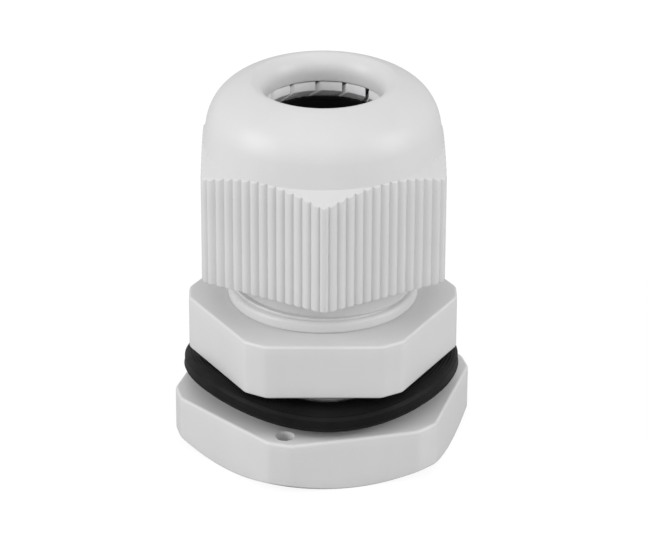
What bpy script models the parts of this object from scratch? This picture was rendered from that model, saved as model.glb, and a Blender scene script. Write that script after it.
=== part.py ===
"""Cable gland for a 20 mm conduit hole, moulded plastic, loosened and standing on its lock nut.

Six mouldings: the body, a clamping cage of a ring and fingers, a rubber seal sleeve, a dome nut,
a flat rubber gasket and a lock nut. The axis is Z and the underside of the lock nut is at z = 0.
Sizes are in millimetres and are turned into metres by MM. Heights are measured from the lower end
of the entry thread, which is LOCK_FOOT above the underside of the lock nut, and lift adds that.
"""

from math import cos, pi, radians, sin, tan

import bmesh
import bpy
from mathutils import Matrix, Vector

MM = 0.001
SEGMENTS = 40
MERGE = 0.00001
TURN = 2 * pi

# Entry thread and lock nut
ENTRY_PITCH = 1.5
ENTRY_CREST = 9.9
ENTRY_ROOT = 9.1
LOCK_FLATS = 27.4
LOCK_CORNERS = 30.2
LOCK_HEIGHT = 4.7
LOCK_FOOT = 0.88
LOCK_CONE_REACH = 13.52
LOCK_CONE_SLOPE = 0.632
LOCK_ANGLE = 13.3
LOCK_BORE = 10.2
LOCK_CREST = 9.4
LOCK_HOLE_RADIUS = 0.85
LOCK_HOLE_CENTRE = 13.3
LOCK_HOLE_DEPTH = 3.0

# Body
FLANGE_FLATS = 24.6
FLANGE_CORNERS = 27.0
FLANGE_BOTTOM = 8.6
FLANGE_TOP = 14.35
FLANGE_EDGE = 0.35
BODY_BORE = 6.6
SEAL_SEAT = 20.3
NECK_BORE = 7.95
NECK_TOP = 25.0
NECK_ROOT = 8.85
NECK_CREST = 9.5
NECK_PITCH = 2.0
COLLAR_RADIUS = 9.55
COLLAR_TOP = 15.6
NECK_THREAD_START = 15.4

# Dome nut
NUT_FLATS = 24.0
NUT_BOTTOM = 18.75
RIB_DEPTH = 0.3
RIBS_PER_FLAT = 14
BAND_TOP = 31.4
BAND_SLOPE = 0.66
DOME_RADIUS = 11.82
DOME_BASE = 29.14
DOME_RISE = 8.85
DOME_POWER = 0.585
THROAT = 5.86
THROAT_BOTTOM = 34.9
LIP_REACH = 1.4
LIP_DROP = 1.9
DOME_STATIONS = (30.6, 31.6, 32.6, 33.6, 34.5, 35.3, 36.0, 36.6, 37.0)
CONE_START = 6.6
CONE_SLOPE = 0.8
NUT_BORE = 9.7
NUT_CREST = 9.05

# Clamping cage
FINGERS = 14
FINGER_ROOT = 27.2
FINGER_PIVOT = 8.2
FINGER_OUTER = 8.85
FINGER_INNER = 7.4
FINGER_TIP = 6.0
FINGER_TOP = 34.72
FINGER_SLANT = 55.0
FINGER_BACK = ((6.75, 33.95), (7.2, 33.35), (8.0, 32.7), (8.5, 31.8), (FINGER_OUTER, 30.6))
FINGER_FRONT_START = 32.3
TIP_FACE = 0.95
SLOT_ROOT = 0.25
SLOT_TIP = 0.4
RING_BOTTOM = 25.3
RING_TOP = 26.9
SKIRT_BOTTOM = 22.6
LUGS = 4
LUG_WIDTH = 1.6
LUG_DEPTH = 1.1

# Rubber pieces
SEAL_OUTER = 7.1
SEAL_BORE = 5.95
SEAL_BOTTOM = 20.6
SEAL_TOP = 33.15
GASKET_OUTER = 13.87
GASKET_BORE = 10.2
GASKET_THICKNESS = 1.5
GASKET_HEIGHT = 6.25
GASKET_TILT = 0.08
GASKET_SADDLE = -0.3
GASKET_THREE_WAVES = -0.55
GASKET_SHIFT = -0.15
GAP = 0.3


def clear_scene():
    for item in list(bpy.data.objects):
        bpy.data.objects.remove(item, do_unlink=True)


def new_collection(name):
    collection = bpy.data.collections.new(name)
    bpy.context.scene.collection.children.link(collection)
    return collection


def plastic(name, colour, roughness):
    """A material with a colour, no metal and the given roughness."""
    material = bpy.data.materials.new(name)
    material.use_nodes = True
    shader = material.node_tree.nodes["Principled BSDF"]
    shader.inputs["Base Color"].default_value = (*colour, 1.0)
    shader.inputs["Roughness"].default_value = roughness
    shader.inputs["Metallic"].default_value = 0.0
    return material


def add_object(name, mesh, collection):
    item = bpy.data.objects.new(name, mesh)
    collection.objects.link(item)
    return item


def hide_guide(item):
    item.hide_render = True
    item.display_type = "WIRE"
    return item


def flat_mesh(item):
    """Replaces an object's data and modifiers with the mesh that they make."""
    bpy.context.view_layer.update()
    graph = bpy.context.evaluated_depsgraph_get()
    mesh = bpy.data.meshes.new_from_object(item.evaluated_get(graph))
    if item.type == "CURVE":
        solid = bpy.data.objects.new(item.name + "_mesh", mesh)
        item.users_collection[0].objects.link(solid)
        solid.matrix_world = item.matrix_world
        bpy.data.objects.remove(item, do_unlink=True)
        item = solid
    else:
        item.modifiers.clear()
        item.data = mesh
    shape = bmesh.new()
    shape.from_mesh(item.data)
    bmesh.ops.remove_doubles(shape, verts=shape.verts, dist=MERGE)
    shape.to_mesh(item.data)
    shape.free()
    return item


def turned(name, profile, collection, closed, steps=SEGMENTS):
    """A profile of (radius, height) points, listed down its outer side, turned about Z."""
    shape = bmesh.new()
    points = [shape.verts.new((radius * MM, 0, height * MM)) for radius, height in profile]
    for first, second in zip(points, points[1:]):
        shape.edges.new((first, second))
    if closed:
        shape.edges.new((points[-1], points[0]))
    mesh = bpy.data.meshes.new(name)
    shape.to_mesh(mesh)
    shape.free()
    item = add_object(name, mesh, collection)
    screw = item.modifiers.new("turn", "SCREW")
    screw.steps = steps
    screw.render_steps = steps
    screw.use_merge_vertices = True
    screw.merge_threshold = MERGE
    return flat_mesh(item)


def hexagon(name, flats, bottom, top, collection, angle=0.0):
    """A hexagonal prism whose flats face along Y, turned by an angle in degrees."""
    shape = bmesh.new()
    corner = flats / 2 / cos(pi / 6) * MM
    place = Matrix.Translation((0, 0, (bottom + top) / 2 * MM)) @ Matrix.Rotation(radians(angle), 4, "Z")
    bmesh.ops.create_cone(
        shape, cap_ends=True, segments=6, radius1=corner, radius2=corner,
        depth=(top - bottom) * MM, matrix=place @ Matrix.Rotation(pi / 2, 4, "Z"),
    )
    mesh = bpy.data.meshes.new(name)
    shape.to_mesh(mesh)
    shape.free()
    return add_object(name, mesh, collection)


def box(name, size, centre, collection, angle=0.0):
    """A block with its centre at a point, then turned about Z by an angle in radians."""
    shape = bmesh.new()
    bmesh.ops.create_cube(shape, size=1.0)
    bmesh.ops.scale(shape, vec=Vector(size) * MM, verts=shape.verts)
    bmesh.ops.translate(shape, vec=Vector(centre) * MM, verts=shape.verts)
    bmesh.ops.rotate(shape, matrix=Matrix.Rotation(angle, 3, "Z"), verts=shape.verts)
    mesh = bpy.data.meshes.new(name)
    shape.to_mesh(mesh)
    shape.free()
    return add_object(name, mesh, collection)


def cylinder(name, radius, bottom, top, collection, steps=SEGMENTS, centre=(0.0, 0.0)):
    """A round cutter about a vertical axis."""
    shape = bmesh.new()
    place = Matrix.Translation((centre[0] * MM, centre[1] * MM, (bottom + top) / 2 * MM))
    bmesh.ops.create_cone(
        shape, cap_ends=True, segments=steps, radius1=radius * MM, radius2=radius * MM,
        depth=(top - bottom) * MM, matrix=place,
    )
    mesh = bpy.data.meshes.new(name)
    shape.to_mesh(mesh)
    shape.free()
    return add_object(name, mesh, collection)


def combine(item, other, operation):
    """Joins, cuts or crosses an object with another one, which stays as a hidden guide."""
    hide_guide(other)
    modifier = item.modifiers.new(operation.lower(), "BOOLEAN")
    modifier.operation = operation
    modifier.solver = "EXACT"
    modifier.object = other
    return flat_mesh(item)


def thread_ridge(name, base, crest, pitch, start, turns, widths, collection):
    """A right-hand helical ridge from a base radius to a crest radius.

    Its section fades into the base over a third of a turn at both ends. The ridge points inwards
    where the crest is smaller than the base. widths are the axial widths at the base and the crest.
    """
    shape = bmesh.new()
    stations = round(turns * SEGMENTS)
    fade = SEGMENTS // 3
    sunk = base - 0.25 if crest > base else base + 0.25
    rings = []
    for station in range(stations + 1):
        angle = station * TURN / SEGMENTS
        height = start + pitch * station / SEGMENTS
        share = min(1.0, (min(station, stations - station) + 0.5) / fade)
        tip = sunk + (crest - sunk) * share
        half_base = widths[0] / 2
        half_tip = half_base + (widths[1] / 2 - half_base) * share
        corners = ((sunk, -half_base), (tip, -half_tip), (tip, half_tip), (sunk, half_base))
        rings.append([
            shape.verts.new((
                radius * cos(angle) * MM, radius * sin(angle) * MM, (height + offset) * MM
            ))
            for radius, offset in corners
        ])
    for low, high in zip(rings, rings[1:]):
        for side in range(4):
            after = (side + 1) % 4
            shape.faces.new((low[side], low[after], high[after], high[side]))
    shape.faces.new(rings[0])
    shape.faces.new(rings[-1])
    bmesh.ops.recalc_face_normals(shape, faces=shape.faces)
    mesh = bpy.data.meshes.new(name)
    shape.to_mesh(mesh)
    shape.free()
    return add_object(name, mesh, collection)


def clipped_hexagon(name, flats, corners, bottom, top, parts, cutters, angle=0.0):
    """A hexagonal prism whose six corners are cut by a second one, turned half a side."""
    prism = hexagon(name, flats, bottom, top, parts, angle)
    clip = hexagon(name + "_clip", corners, bottom - 1, top + 1, cutters, angle + 30)
    return combine(prism, clip, "INTERSECT")


def soften(item, width, segments=2, limit=40.0):
    """Rounds the edges that turn by more than the limit, in degrees."""
    bevel = item.modifiers.new("soften", "BEVEL")
    bevel.width = width * MM
    bevel.segments = segments
    bevel.limit_method = "ANGLE"
    bevel.angle_limit = radians(limit)
    return flat_mesh(item)


def make_body(parts, cutters):
    core = turned("gland_body", [
        (0, NECK_TOP), (NECK_ROOT - 0.35, NECK_TOP), (NECK_ROOT, NECK_TOP - 0.35),
        (NECK_ROOT, COLLAR_TOP + 0.25), (COLLAR_RADIUS - 0.35, COLLAR_TOP),
        (COLLAR_RADIUS, COLLAR_TOP - 0.4), (COLLAR_RADIUS, FLANGE_TOP - 1),
        (ENTRY_ROOT, FLANGE_BOTTOM + 1), (ENTRY_ROOT, 0.4), (ENTRY_ROOT - 0.4, 0), (0, 0),
    ], parts, closed=False)
    flange = clipped_hexagon(
        "flange", FLANGE_FLATS, FLANGE_CORNERS, FLANGE_BOTTOM, FLANGE_TOP, cutters, cutters
    )
    combine(core, soften(flange, FLANGE_EDGE), "UNION")
    neck_turns = (NECK_TOP - 0.9 - NECK_THREAD_START) / NECK_PITCH
    neck = thread_ridge(
        "neck_ridge", NECK_ROOT, NECK_CREST, NECK_PITCH, NECK_THREAD_START, neck_turns,
        (1.4, 0.5), cutters,
    )
    combine(core, neck, "UNION")
    entry_turns = (FLANGE_BOTTOM - 1.8) / ENTRY_PITCH
    entry = thread_ridge(
        "entry_ridge", ENTRY_ROOT, ENTRY_CREST, ENTRY_PITCH, 0.8, entry_turns, (1.25, 0.25), cutters
    )
    combine(core, entry, "UNION")
    bore = turned("body_bore", [
        (0, NECK_TOP + 1), (NECK_BORE, NECK_TOP + 1), (NECK_BORE, SEAL_SEAT),
        (BODY_BORE, SEAL_SEAT), (BODY_BORE, 0.6), (BODY_BORE + 0.6, 0),
        (BODY_BORE + 0.6, -1), (0, -1),
    ], cutters, closed=False)
    combine(core, bore, "DIFFERENCE")
    for lug in range(LUGS):
        notch = box(
            f"notch_{lug + 1}", (4, LUG_WIDTH + 2 * GAP, 2 * (LUG_DEPTH + 2 * GAP)),
            (NECK_BORE + 1.5, 0, NECK_TOP), cutters, (lug + 0.5) * TURN / LUGS,
        )
        combine(core, notch, "DIFFERENCE")
    return core


def make_cage_ring(parts, cutters):
    ring = turned("cage_ring", [
        (FINGER_OUTER - 0.3, RING_TOP), (FINGER_OUTER, RING_TOP - 0.3), (FINGER_OUTER, RING_BOTTOM),
        (NECK_BORE - GAP, RING_BOTTOM), (NECK_BORE - GAP, SKIRT_BOTTOM + 0.3),
        (NECK_BORE - GAP - 0.15, SKIRT_BOTTOM), (FINGER_INNER, SKIRT_BOTTOM),
        (FINGER_INNER, RING_TOP),
    ], parts, closed=True)
    for lug in range(LUGS):
        depth = LUG_DEPTH + GAP
        block = box(
            f"lug_{lug + 1}", (1.1, LUG_WIDTH, depth + 0.6),
            (NECK_BORE + 0.25, 0, RING_BOTTOM - depth / 2 + 0.3), cutters, (lug + 0.5) * TURN / LUGS,
        )
        combine(ring, block, "UNION")
    return ring


def slot_side(side, slot):
    """The inner and outer end of one slanted side of a finger, seen from above."""
    middle = (FINGER_INNER + FINGER_OUTER) / 2
    ends = []
    for radius in (FINGER_TIP - 0.6, FINGER_OUTER + 0.4):
        lean = (radius - middle) * tan(radians(FINGER_SLANT)) / middle
        angle = side * TURN / FINGERS / 2 + lean
        ends.append(Vector((radius * cos(angle), radius * sin(angle))))
    along = (ends[1] - ends[0]).normalized()
    inwards = Vector((along.y, -along.x)) * side
    return [end + inwards * slot for end in ends]


def sector_wedge(name, collection):
    """The space of one finger: two slanted sides that leave a slot, wider at the tip."""
    shape = bmesh.new()
    bmesh.ops.create_cube(shape, size=2.0)
    for vert in shape.verts:
        radial, side, level = vert.co
        height, slot = (FINGER_ROOT - 1, SLOT_ROOT) if level < 0 else (FINGER_TOP + 1, SLOT_TIP)
        place = slot_side(side, slot / 2)[radial > 0]
        vert.co = Vector((place.x, place.y, height)) * MM
    bmesh.ops.recalc_face_normals(shape, faces=shape.faces)
    mesh = bpy.data.meshes.new(name)
    shape.to_mesh(mesh)
    shape.free()
    return add_object(name, mesh, collection)


def make_fingers(parts, cutters):
    """One finger at +X, on its living hinge, and its copies round the ring."""
    first = turned("finger_01", [
        (FINGER_TIP, FINGER_TOP), (FINGER_TIP + 0.08, FINGER_TOP), *FINGER_BACK,
        (FINGER_OUTER, FINGER_ROOT), (FINGER_INNER, FINGER_ROOT),
        (FINGER_INNER, FINGER_FRONT_START), (FINGER_TIP, FINGER_TOP - TIP_FACE),
    ], parts, closed=True, steps=FINGERS * 6)
    combine(first, sector_wedge("finger_wedge", cutters), "INTERSECT")
    pivot = Matrix.Translation((FINGER_PIVOT * MM, 0, FINGER_ROOT * MM))
    first.data.transform(pivot.inverted())
    fingers = []
    for number in range(FINGERS):
        finger = first if number == 0 else add_object(f"finger_{number + 1:02d}", first.data, parts)
        finger.matrix_world = Matrix.Rotation(number * TURN / FINGERS, 4, "Z") @ pivot
        fingers.append(finger)
    return fingers


def make_seal(parts):
    return turned("seal_sleeve", [
        (SEAL_BORE, SEAL_TOP), (SEAL_BORE + 0.2, SEAL_TOP), (SEAL_OUTER, SEAL_TOP - 1.25),
        (SEAL_OUTER, SEAL_BOTTOM + 0.3), (SEAL_OUTER - 0.3, SEAL_BOTTOM),
        (SEAL_BORE + 0.3, SEAL_BOTTOM), (SEAL_BORE, SEAL_BOTTOM + 0.3),
    ], parts, closed=True)


def dome_radius(height):
    """Outer radius of the dome at a height, on a rounded superellipse."""
    rise = min(1.0, max(0.0, (height - DOME_BASE) / DOME_RISE))
    across = 1 - rise ** (2 / DOME_POWER)
    return DOME_RADIUS * across ** (DOME_POWER / 2)


def dome_height(radius):
    across = 1 - (radius / DOME_RADIUS) ** (2 / DOME_POWER)
    return DOME_BASE + DOME_RISE * across ** (DOME_POWER / 2)


def ribbed_outline():
    """Points round a hexagon whose corners point along Y and whose sides carry upright ribs."""
    apothem = NUT_FLATS / 2
    side = 2 * apothem * tan(pi / 6)
    step = side / RIBS_PER_FLAT
    outline = []
    for flat in range(6):
        turn = Matrix.Rotation(flat * pi / 3, 2)
        for rib in range(RIBS_PER_FLAT):
            middle = (rib + 0.5) * step - side / 2
            for offset, depth in ((-0.27, 0), (-0.1, RIB_DEPTH), (0.1, RIB_DEPTH), (0.27, 0)):
                outline.append(turn @ Vector((apothem - depth, middle + offset * step)))
    return outline


def ribbed_prism(name, bottom, top, collection):
    curve = bpy.data.curves.new(name, "CURVE")
    curve.dimensions = "2D"
    curve.fill_mode = "BOTH"
    curve.extrude = (top - bottom) / 2 * MM
    outline = ribbed_outline()
    spline = curve.splines.new("POLY")
    spline.points.add(len(outline) - 1)
    for point, place in zip(spline.points, outline):
        point.co = (place.x * MM, place.y * MM, 0, 1)
    spline.use_cyclic_u = True
    item = add_object(name, curve, collection)
    item.location.z = (top + bottom) / 2 * MM
    solid = flat_mesh(item)
    solid.data.transform(solid.matrix_world)
    solid.matrix_world = Matrix.Identity(4)
    return solid


def make_dome_nut(parts, cutters):
    nut = ribbed_prism("dome_nut", NUT_BOTTOM, BAND_TOP + 1, parts)
    nut.name = "dome_nut"
    envelope = turned("nut_envelope", [
        (0, BAND_TOP), (DOME_RADIUS - 0.4, BAND_TOP),
        (14.5, BAND_TOP - (14.5 - DOME_RADIUS + 0.4) * BAND_SLOPE),
        (14.5, NUT_BOTTOM - 1), (0, NUT_BOTTOM - 1),
    ], cutters, closed=False, steps=2 * SEGMENTS)
    combine(nut, envelope, "INTERSECT")
    lip_centre = THROAT + LIP_REACH
    sides = [(dome_radius(height), height) for height in DOME_STATIONS]
    sides += [(radius, dome_height(radius)) for radius in (8.4, lip_centre)]
    lip_height = sides[-1][1] - LIP_DROP
    lip = []
    for step in range(1, 5):
        angle = pi / 2 * (1 + step / 4)
        lip.append((lip_centre + LIP_REACH * cos(angle), lip_height + LIP_DROP * sin(angle)))
    outer = [(0, DOME_STATIONS[0])] + sides + lip + [(0, lip[-1][1])]
    dome = turned("dome", list(reversed(outer)), cutters, closed=False)
    combine(nut, dome, "UNION")
    cone_bottom = THROAT_BOTTOM - (NUT_BORE - CONE_START) / CONE_SLOPE
    cavity = turned("nut_cavity", [
        (0, lip_height + 0.02), (THROAT, lip_height + 0.02), (THROAT, THROAT_BOTTOM),
        (CONE_START, THROAT_BOTTOM), (NUT_BORE, cone_bottom),
        (NUT_BORE, NUT_BOTTOM + 0.5), (NUT_BORE + 0.4, NUT_BOTTOM), (NUT_BORE + 0.4, NUT_BOTTOM - 1),
        (0, NUT_BOTTOM - 1),
    ], cutters, closed=False)
    combine(nut, cavity, "DIFFERENCE")
    turns_up = 3
    start = NECK_THREAD_START + NECK_PITCH * (turns_up - 0.5)
    ridge = thread_ridge(
        "nut_ridge", NUT_BORE, NUT_CREST, NECK_PITCH, start, 2.4, (1.4, 0.5), cutters
    )
    combine(nut, ridge, "UNION")
    return nut


def warp(angle):
    """Height of the gasket's underside round the ring; the angle starts at -Y, towards +X."""
    waves = GASKET_TILT * sin(angle) + GASKET_SADDLE * sin(2 * angle)
    return GASKET_HEIGHT + waves + GASKET_THREE_WAVES * cos(3 * angle)


def make_gasket(parts):
    half = GASKET_THICKNESS / 2
    ring = turned("flat_gasket", [
        (GASKET_OUTER - 0.3, half), (GASKET_OUTER, half - 0.3), (GASKET_OUTER, 0.2 - half),
        (GASKET_OUTER - 0.2, -half), (GASKET_BORE, -half), (GASKET_BORE, half),
    ], parts, closed=True, steps=48)
    for vert in ring.data.vertices:
        angle = Vector((0, -1)).angle_signed(Vector((vert.co.x, vert.co.y)))
        vert.co.z += (warp(-angle) + half) * MM
        vert.co.x += GASKET_SHIFT * MM
    return ring


def make_lock_nut(parts, cutters):
    nut = clipped_hexagon(
        "lock_nut", LOCK_FLATS, LOCK_CORNERS, -LOCK_FOOT, LOCK_HEIGHT, parts, cutters, LOCK_ANGLE
    )
    soften(nut, 0.35)
    wide = LOCK_CORNERS / 2 + 2
    low = -LOCK_FOOT - 0.2
    envelope = turned("lock_envelope", [
        (0, LOCK_HEIGHT + 1), (wide, LOCK_HEIGHT + 1),
        (wide, (wide - LOCK_CONE_REACH) * LOCK_CONE_SLOPE - LOCK_FOOT),
        (LOCK_CONE_REACH - 0.2 / LOCK_CONE_SLOPE, low), (0, low),
    ], cutters, closed=False)
    combine(nut, envelope, "INTERSECT")
    bore = turned("lock_bore", [
        (0, LOCK_HEIGHT + 1), (LOCK_BORE + 0.4, LOCK_HEIGHT + 1), (LOCK_BORE + 0.4, LOCK_HEIGHT),
        (LOCK_BORE, LOCK_HEIGHT - 0.4), (LOCK_BORE, 0.4 - LOCK_FOOT),
        (LOCK_BORE + 0.4, -LOCK_FOOT), (LOCK_BORE + 0.4, -LOCK_FOOT - 1), (0, -LOCK_FOOT - 1),
    ], cutters, closed=False)
    combine(nut, bore, "DIFFERENCE")
    ridge = thread_ridge(
        "lock_ridge", LOCK_BORE, LOCK_CREST, ENTRY_PITCH, 0.8 + ENTRY_PITCH / 2, 1.55,
        (1.15, 0.25), cutters,
    )
    combine(nut, ridge, "UNION")
    corner = radians(LOCK_ANGLE - 120)
    place = (LOCK_HOLE_CENTRE * cos(corner), LOCK_HOLE_CENTRE * sin(corner))
    hole = cylinder(
        "blind_hole", LOCK_HOLE_RADIUS, LOCK_HEIGHT - LOCK_HOLE_DEPTH, LOCK_HEIGHT + 1,
        cutters, 16, place,
    )
    combine(nut, hole, "DIFFERENCE")
    return nut


def lift(item):
    """Raises a part, or the place of a part with its own pivot, so that the lock nut stands at z = 0."""
    rise = Matrix.Translation((0, 0, LOCK_FOOT * MM))
    if item.matrix_world == Matrix.Identity(4):
        item.data.transform(rise)
    else:
        item.matrix_world = rise @ item.matrix_world


def finish(item, material):
    item.data.materials.clear()
    item.data.materials.append(material)
    item.data.shade_smooth()
    item.data.set_sharp_from_angle(angle=radians(35))


def main():
    clear_scene()
    parts = new_collection("cable_gland")
    cutters = new_collection("cutters")
    pale_grey = plastic("pale_grey_plastic", (0.68, 0.69, 0.70), 0.42)
    black_rubber = plastic("black_rubber", (0.018, 0.018, 0.019), 0.6)
    grey_parts = [make_body(parts, cutters), make_cage_ring(parts, cutters)]
    grey_parts += [make_dome_nut(parts, cutters), make_lock_nut(parts, cutters)]
    grey_parts += make_fingers(parts, cutters)
    rubber_parts = [make_seal(parts), make_gasket(parts)]
    for item in grey_parts:
        finish(item, pale_grey)
    for item in rubber_parts:
        finish(item, black_rubber)
    bpy.context.view_layer.update()
    for item in grey_parts + rubber_parts:
        lift(item)


main()
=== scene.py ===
"""Shows a moulded plastic cable gland, loosened and standing on its lock nut, round its packed model."""

from math import cos, pi, radians, sin, tan
from typing import NamedTuple

import bmesh
import bpy
from bpy.props import FloatProperty, FloatVectorProperty, IntProperty, PointerProperty
from bpy.types import Operator, Panel, PropertyGroup
from mathutils import Matrix, Quaternion, Vector


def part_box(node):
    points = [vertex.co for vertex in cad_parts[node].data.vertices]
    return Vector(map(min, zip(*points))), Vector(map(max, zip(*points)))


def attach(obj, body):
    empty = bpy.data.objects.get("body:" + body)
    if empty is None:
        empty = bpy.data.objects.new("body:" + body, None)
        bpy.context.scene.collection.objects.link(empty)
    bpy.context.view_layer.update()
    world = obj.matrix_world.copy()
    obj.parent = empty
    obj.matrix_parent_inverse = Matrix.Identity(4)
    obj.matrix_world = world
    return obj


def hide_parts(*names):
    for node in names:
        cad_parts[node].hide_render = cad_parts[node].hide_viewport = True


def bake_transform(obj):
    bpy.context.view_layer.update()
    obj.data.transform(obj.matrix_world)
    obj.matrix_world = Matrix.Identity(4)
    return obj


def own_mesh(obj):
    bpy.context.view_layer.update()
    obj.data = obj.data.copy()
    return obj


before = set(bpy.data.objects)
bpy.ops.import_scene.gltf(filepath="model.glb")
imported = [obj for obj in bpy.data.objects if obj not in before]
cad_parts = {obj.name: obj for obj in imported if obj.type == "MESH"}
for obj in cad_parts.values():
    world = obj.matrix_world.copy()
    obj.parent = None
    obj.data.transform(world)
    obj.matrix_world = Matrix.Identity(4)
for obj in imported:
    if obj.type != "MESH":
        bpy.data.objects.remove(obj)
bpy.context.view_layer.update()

bl_info = {
    "name": "Cable Gland Maker",
    "version": (1, 0, 0),
    "blender": (4, 5, 0),
    "location": "3D View > Sidebar > Cable Gland",
    "description": "Makes the visible mouldings of a cable gland and a plain studio round them",
    "category": "Add Mesh",
}

# Lengths in this file are in millimetres unless they are an operator's setting, which is in metres.
MM = 0.001
TURN = 2 * pi
MERGE = 1e-7
FAR = 1000.0
SHARP = radians(35)

# Pieces are modelled with the lower end of the entry thread at z = 0 and are then raised to their
# place, because the lock nut reaches further down than the thread.
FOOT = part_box("gland_body")[0].z
RAISE = Matrix.Translation((0, 0, FOOT))


def span(node):
    """The lowest and highest corner of a packed solid, before it is raised."""
    low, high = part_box(node)
    return low - Vector((0, 0, FOOT)), high - Vector((0, 0, FOOT))


# Heights and widths that the packed model fixes
NUT_LOW, NUT_HIGH = span("dome_nut")
LOCK_LOW, LOCK_HIGH = span("lock_nut")
BODY_HIGH = span("gland_body")[1]
RING_LOW, RING_HIGH = span("cage_ring")
SEAL_LOW, SEAL_HIGH = span("seal_sleeve")
GASKET_LOW, GASKET_HIGH = span("flat_gasket")
TIP_HIGH = span("finger_01")[1]

FINGER_COUNT = sum(name.startswith("finger_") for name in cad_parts)

# Threads, whose ridge widths are those at the foot and at the crest
ENTRY_ROOT = 9.1
ENTRY_PITCH = 1.5
ENTRY_DEPTH = 0.9
ENTRY_WIDTHS = (1.3, 0.25)
ENTRY_THREAD_START = 0.8
NECK_ROOT = 8.85
NECK_PITCH = 2.0
NECK_DEPTH = 0.75
NECK_WIDTHS = (1.5, 0.5)
NECK_THREAD_START = 15.4
SUNK = 0.1  # how far a ridge is sunk into its wall, so that the two join

# Body
COLLAR_RADIUS = 9.55
COLLAR_TOP = 15.6
FLANGE_BOTTOM = 8.6
FLANGE_TOP = 14.35
BODY_BORE = 6.6
NECK_BORE = 7.95
SEAL_SEAT = 20.3
UNDERCUT = 0.2
LUG_COUNT = 4
LUG_REACH = 1.2
LUG_WIDTH = 1.6
LUG_DEPTH = 1.1
PLAY = 0.3

# Dome nut
DOME_RADIUS = 11.82
DOME_BASE = 29.14
DOME_RISE = 8.85
DOME_POWER = 0.585
BAND_TOP = 31.4
BAND_REACH = 11.3
BAND_SLOPE = 0.66
THROAT = 5.86
THROAT_BOTTOM = 34.86
LIP_REACH = 1.4
LIP_DROP = 1.9
LIP_STEPS = 14
DOME_STEPS = 26
CONE_START = 6.6
CONE_SLOPE = 0.8
NUT_BORE = 9.7

# Lock nut
LOCK_BORE = 10.2
LOCK_CONE_REACH = 13.52
LOCK_CONE_SLOPE = 0.632
LOCK_THREAD_WIDTHS = (1.25, 0.25)
HOLE_CENTRE = 13.3
HOLE_BOTTOM = 1.7

# Gasket, with the height of its lower face and its thickness
GASKET_BORE = 10.2
GASKET_THICKNESS = 1.5
GASKET_BASE = 6.25
GASKET_SHIFT = -0.15
FINE_RINGS = 9
FINE_RING_STEP = 0.33
FINE_RING_WIDTH = 0.16
FINE_RING_RISE = 0.06
PARTING_LIP = 0.07

# Seal
SEAL_BORE = 5.95
SEAL_CHAMFER = 1.25

# Fingers, with the points down the back given as radius, height and fillet
FINGER_INNER = 7.4
FINGER_OUTER = 8.85
FINGER_TIP = 6.03
FINGER_ROOT = 27.2
TIP_FACE = 0.95
TIP_WIDTH = 0.09
FINGER_FRONT_START = 32.3
FINGER_BACK = ((6.75, 33.95, 0.3), (7.2, 33.35, 0.4), (8.0, 32.7, 0.5), (8.5, 31.8, 0.6))
FINGER_SHOULDER = 30.6
WEB_INNER = 8.0
WEB_OUTER = 8.5
WEB_LENGTH = 0.35
FINGER_COLUMNS = 10

# Centre of the view
VIEW_CENTRE = (0.1, 0.0, 16.72)

# Columns round the round pieces, and along each side of the hexagonal ones
RING_COLUMNS = 192
SEAL_COLUMNS = 160
GASKET_COLUMNS = 240
SIDE_COLUMNS = 48
COLUMNS_PER_RIB = 10


# ---------------------------------------------------------------- node helpers


class Nodes:
    """Adds nodes to a tree and feeds their inputs with values or with other nodes' outputs."""

    def __init__(self, tree):
        self.tree = tree

    def add(self, kind, inputs=(), **settings):
        node = self.tree.nodes.new(kind)
        for name, value in settings.items():
            setattr(node, name, value)
        for key, value in dict(inputs).items():
            self.feed(node.inputs[key], value)
        return node

    def feed(self, socket, value):
        if isinstance(value, bpy.types.NodeSocket):
            self.tree.links.new(value, socket)
        else:
            socket.default_value = value

    def math(self, operation, *values):
        return self.add("ShaderNodeMath", enumerate(values), operation=operation).outputs[0]

    def between(self, share, low, high):
        return self.math("MULTIPLY_ADD", share, self.math("SUBTRACT", high, low), low)

    def smooth_step(self, value):
        ramp = self.add(
            "ShaderNodeMapRange", {"Value": value}, interpolation_type="SMOOTHSTEP", clamp=True
        )
        return ramp.outputs["Result"]


def new_tree(name, kind, inputs, outputs):
    """A node tree with named sockets. Gives its Nodes, its inputs by name and its output node."""
    tree = bpy.data.node_groups.new(name, kind)
    for label, socket_type, default in inputs:
        socket = tree.interface.new_socket(name=label, in_out="INPUT", socket_type=socket_type)
        if default is not None:
            socket.default_value = default
    for label, socket_type in outputs:
        tree.interface.new_socket(name=label, in_out="OUTPUT", socket_type=socket_type)
    nodes = Nodes(tree)
    given = nodes.add("NodeGroupInput").outputs
    return nodes, {socket.name: socket for socket in given if socket.name}, nodes.add("NodeGroupOutput")


def new_maker(name, inputs):
    """A geometry tree that takes a geometry, its own sizes and a material."""
    sockets = [("Geometry", "NodeSocketGeometry", None), *inputs, ("Material", "NodeSocketMaterial", None)]
    return new_tree(name, "GeometryNodeTree", sockets, [("Geometry", "NodeSocketGeometry")])


def end_maker(nodes, given, result, geometry):
    real = nodes.add("GeometryNodeRealizeInstances", {"Geometry": geometry})
    coated = nodes.add(
        "GeometryNodeSetMaterial", {"Geometry": real.outputs[0], "Material": given["Material"]}
    )
    nodes.feed(result.inputs[0], coated.outputs[0])


def distance(name, value):
    return (name, "NodeSocketFloat", value)


def whole(name, value):
    return (name, "NodeSocketInt", value)


# ---------------------------------------------------------------- mesh helpers


def link(name, mesh):
    item = bpy.data.objects.new(name, mesh)
    bpy.context.scene.collection.objects.link(item)
    return item


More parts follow.
